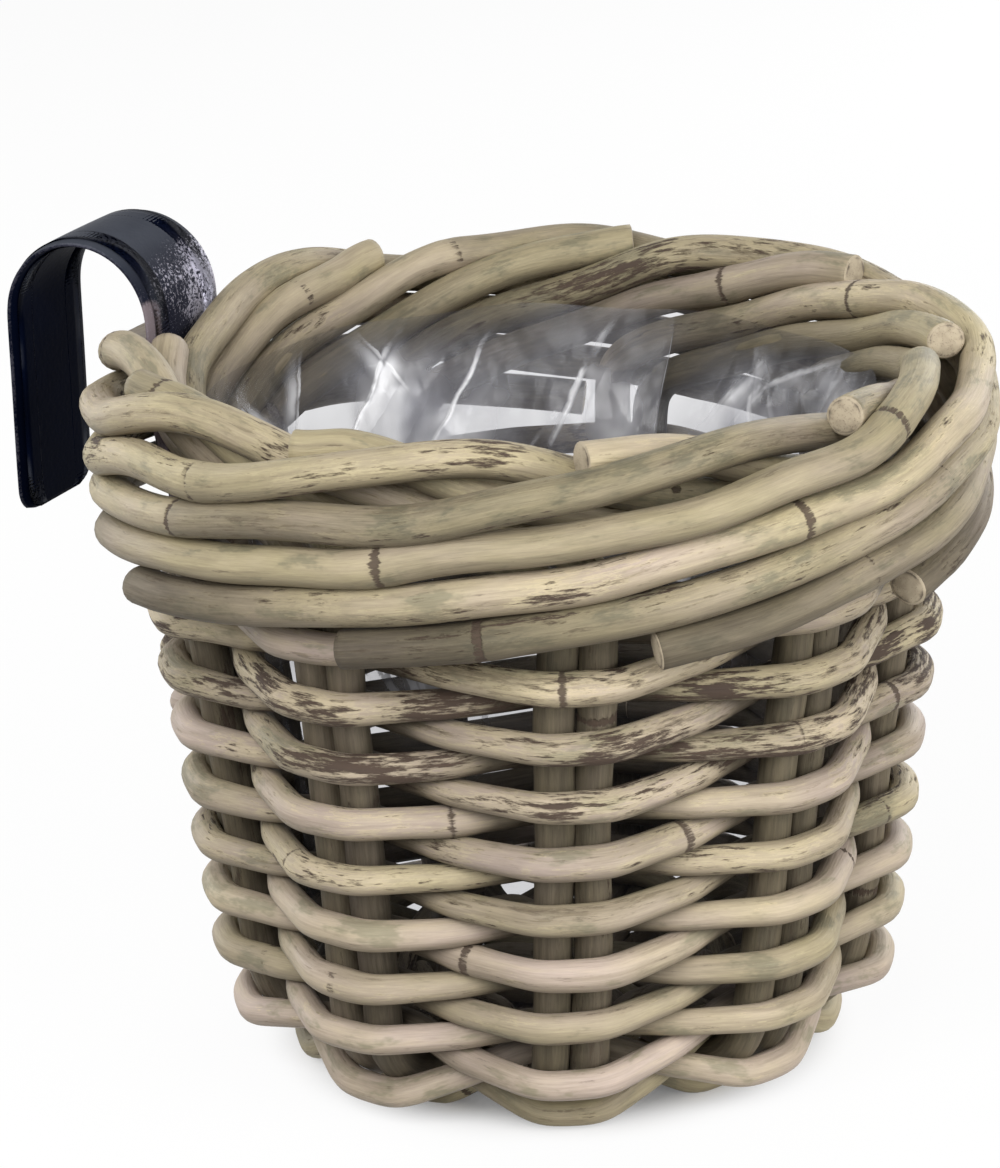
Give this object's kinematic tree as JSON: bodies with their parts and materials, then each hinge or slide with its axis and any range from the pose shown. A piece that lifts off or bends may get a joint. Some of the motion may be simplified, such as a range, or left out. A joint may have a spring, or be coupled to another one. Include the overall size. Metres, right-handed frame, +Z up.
{
  "type": "hanging balcony planter basket",
  "caption": "Round woven rattan planter basket with a rolled rod border, a film liner and a flat steel strap that hooks over a balcony railing.",
  "frame": {"origin": "on the ground under the middle of the whole basket's box, hook included", "axes": "+Z up; +Y towards the hook, square to the railing; +X along the railing"},
  "size_m": [0.2394, 0.2694, 0.2146],
  "materials": {
    "stake_rattan": "matte, weathered grey-beige",
    "weaver_rattan": "matte, weathered grey-beige with dark bark flecks",
    "base_rattan": "matte",
    "strap_paint": "satin black lacquer, worn",
    "film": "clear film"
  },
  "bodies": {
    "root": {"stake_1a": "stake_rattan", "stake_1b": "stake_rattan", "stake_2a": "stake_rattan", "stake_2b": "stake_rattan", "stake_3a": "stake_rattan", "stake_3b": "stake_rattan", "stake_4a": "stake_rattan", "stake_4b": "stake_rattan", "stake_5a": "stake_rattan", "stake_5b": "stake_rattan", "stake_6a": "stake_rattan", "stake_6b": "stake_rattan", "stake_7a": "stake_rattan", "stake_7b": "stake_rattan", "stake_8a": "stake_rattan", "stake_8b": "stake_rattan", "stake_9a": "stake_rattan", "stake_9b": "stake_rattan", "wall_weaver_1": "weaver_rattan", "wall_weaver_2": "weaver_rattan", "wall_weaver_3": "weaver_rattan", "wall_weaver_4": "weaver_rattan", "wall_weaver_5": "weaver_rattan", "wall_weaver_6": "weaver_rattan", "wall_weaver_7": "weaver_rattan", "wall_weaver_8": "weaver_rattan", "wall_weaver_9": "weaver_rattan", "base_stick_1": "base_rattan", "base_stick_2": "base_rattan", "base_stick_3": "base_rattan", "base_stick_4": "base_rattan", "base_stick_5": "base_rattan", "base_stick_6": "base_rattan", "base_stick_7": "base_rattan", "base_stick_8": "base_rattan", "base_stick_9": "base_rattan", "base_weaver": "base_rattan", "hook_strap": "strap_paint", "liner": "film"}
  },
  "joints": []
}
